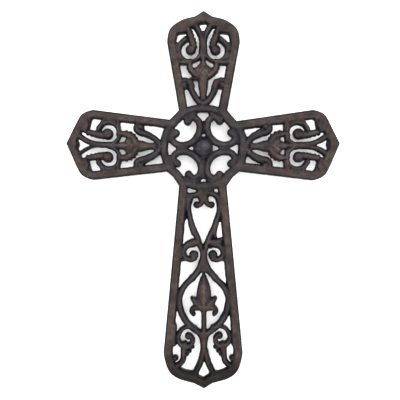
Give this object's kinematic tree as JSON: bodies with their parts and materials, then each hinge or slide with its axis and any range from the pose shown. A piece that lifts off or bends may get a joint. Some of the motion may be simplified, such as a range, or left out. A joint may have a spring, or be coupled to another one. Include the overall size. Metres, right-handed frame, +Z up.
{
  "type": "cast iron wall cross",
  "caption": "Openwork cast iron cross for a wall, with a plain border band filled with scrolls, a ringed quatrefoil at the crossing and a fleur-de-lis in the long lower arm.",
  "frame": {"origin": "on the flat back, behind the centre boss", "axes": "+Z up along the long arm, +X to the right as seen from the front, +Y into the wall: the front faces -Y and the flat back lies on y = 0"},
  "size_m": [0.2734, 0.0105, 0.3774],
  "materials": {
    "cast_iron": "dark brown-black patina, matte, with fine sand-cast grain"
  },
  "bodies": {
    "root": {"wall_cross": "cast_iron"}
  },
  "joints": []
}
